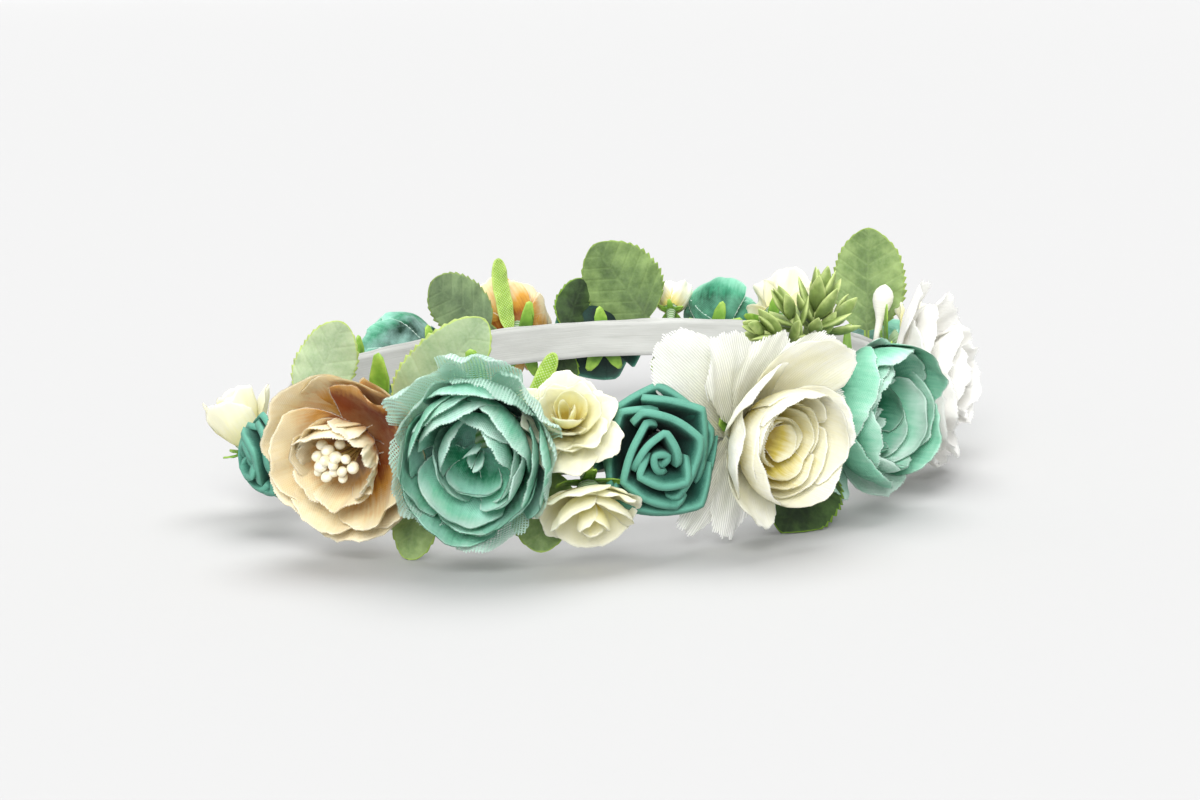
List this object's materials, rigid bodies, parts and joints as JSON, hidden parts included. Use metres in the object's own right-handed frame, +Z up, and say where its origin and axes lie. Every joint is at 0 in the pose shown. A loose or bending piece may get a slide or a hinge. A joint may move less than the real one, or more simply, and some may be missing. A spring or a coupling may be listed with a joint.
{
  "type": "flower crown",
  "caption": "Wired flower crown: fabric, paper and foam flowers with leaves and a succulent sprig round an oval hoop covered in white satin ribbon.",
  "frame": {"origin": "centre of the head opening, at the height of the table that the crown lies on", "axes": "+Z up, out of the top of the crown as it is worn; +X along the long axis of the oval hoop, towards the end with the white rose; +Y completes the frame, so the flowers seen first in front are on the -Y side"},
  "size_m": [0.2375, 0.1942, 0.0669],
  "materials": {
    "petal_peach": "dyed fabric petals, beige with golden bases",
    "petal_teal": "dyed fabric petals, teal with pale edges",
    "petal_aqua": "dyed fabric petals, aqua with pale edges",
    "petal_cream": "cream crinkled paper petals",
    "petal_ivory": "ivory ribbed fabric petals with olive-gold hearts",
    "petal_white": "off-white fabric petals",
    "foam_teal": "matte craft foam",
    "leaf_green": "printed fabric leaf, matte",
    "leaf_dark": "printed fabric leaf, dark with a bright rim",
    "leaf_pale": "printed fabric leaf, pale and frosted",
    "leaf_bright": "fabric leaf, bright yellow-green",
    "leaf_sage": "printed fabric leaf, sage grey-green",
    "sprig_green": "frosted soft plastic",
    "calyx_green": "moulded plastic and floral tape",
    "satin_white": "satin ribbon",
    "wire_white": "paper-covered steel wire",
    "stamen_pearl": "pearl-headed stamens"
  },
  "bodies": {
    "root": {"aqua_ranunculus_front": "petal_aqua", "aqua_ranunculus_front_calyx": "calyx_green", "aqua_ranunculus_right": "petal_teal", "aqua_ranunculus_right_calyx": "calyx_green", "cream_bud_left": "petal_cream", "cream_bud_left_calyx": "calyx_green", "cream_rose_back": "petal_cream", "cream_rose_back_calyx": "calyx_green", "cream_rose_lower": "petal_cream", "cream_rose_lower_calyx": "calyx_green", "cream_rose_right": "petal_cream", "cream_rose_right_calyx": "calyx_green", "cream_rose_upper": "petal_cream", "cream_rose_upper_calyx": "calyx_green", "foam_rose_back": "foam_teal", "foam_rose_back_calyx": "calyx_green", "foam_rose_front": "foam_teal", "foam_rose_front_calyx": "calyx_green", "foam_rose_left": "foam_teal", "foam_rose_left_calyx": "calyx_green", "hoop_wire": "wire_white", "ivory_rose_front": "petal_ivory", "ivory_rose_front_calyx": "calyx_green", "ivory_rose_left": "petal_ivory", "ivory_rose_left_calyx": "calyx_green", "leaf_behind_peach": "leaf_pale", "leaf_big_back": "leaf_green", "leaf_bright_back": "leaf_bright", "leaf_dark_back": "leaf_dark", "leaf_left": "leaf_pale", "leaf_low_back": "leaf_dark", "leaf_low_right_back": "leaf_green", "leaf_round_right": "leaf_green", "leaf_sage_back": "leaf_sage", "leaf_slim_front": "leaf_bright", "leaf_under_cream": "leaf_green", "leaf_under_ivory": "leaf_dark", "leaf_under_left": "leaf_green", "leaf_under_peach": "leaf_green", "lining_ribbon": "satin_white", "outer_ribbon": "satin_white", "pale_bud_back": "petal_ivory", "pale_bud_back_calyx": "calyx_green", "peach_rose_back": "petal_peach", "peach_rose_back_calyx": "calyx_green", "peach_rose_back_stamens": "stamen_pearl", "peach_rose_front": "petal_peach", "peach_rose_front_calyx": "calyx_green", "peach_rose_front_stamens": "stamen_pearl", "succulent_sprig": "sprig_green", "teal_ranunculus_back": "petal_aqua", "teal_ranunculus_back_calyx": "calyx_green", "teal_ranunculus_front": "petal_teal", "teal_ranunculus_front_calyx": "calyx_green", "teal_ranunculus_left": "petal_teal", "teal_ranunculus_left_calyx": "calyx_green", "white_bud": "petal_white", "white_rose_right": "petal_white", "white_rose_right_calyx": "calyx_green"}
  },
  "joints": []
}
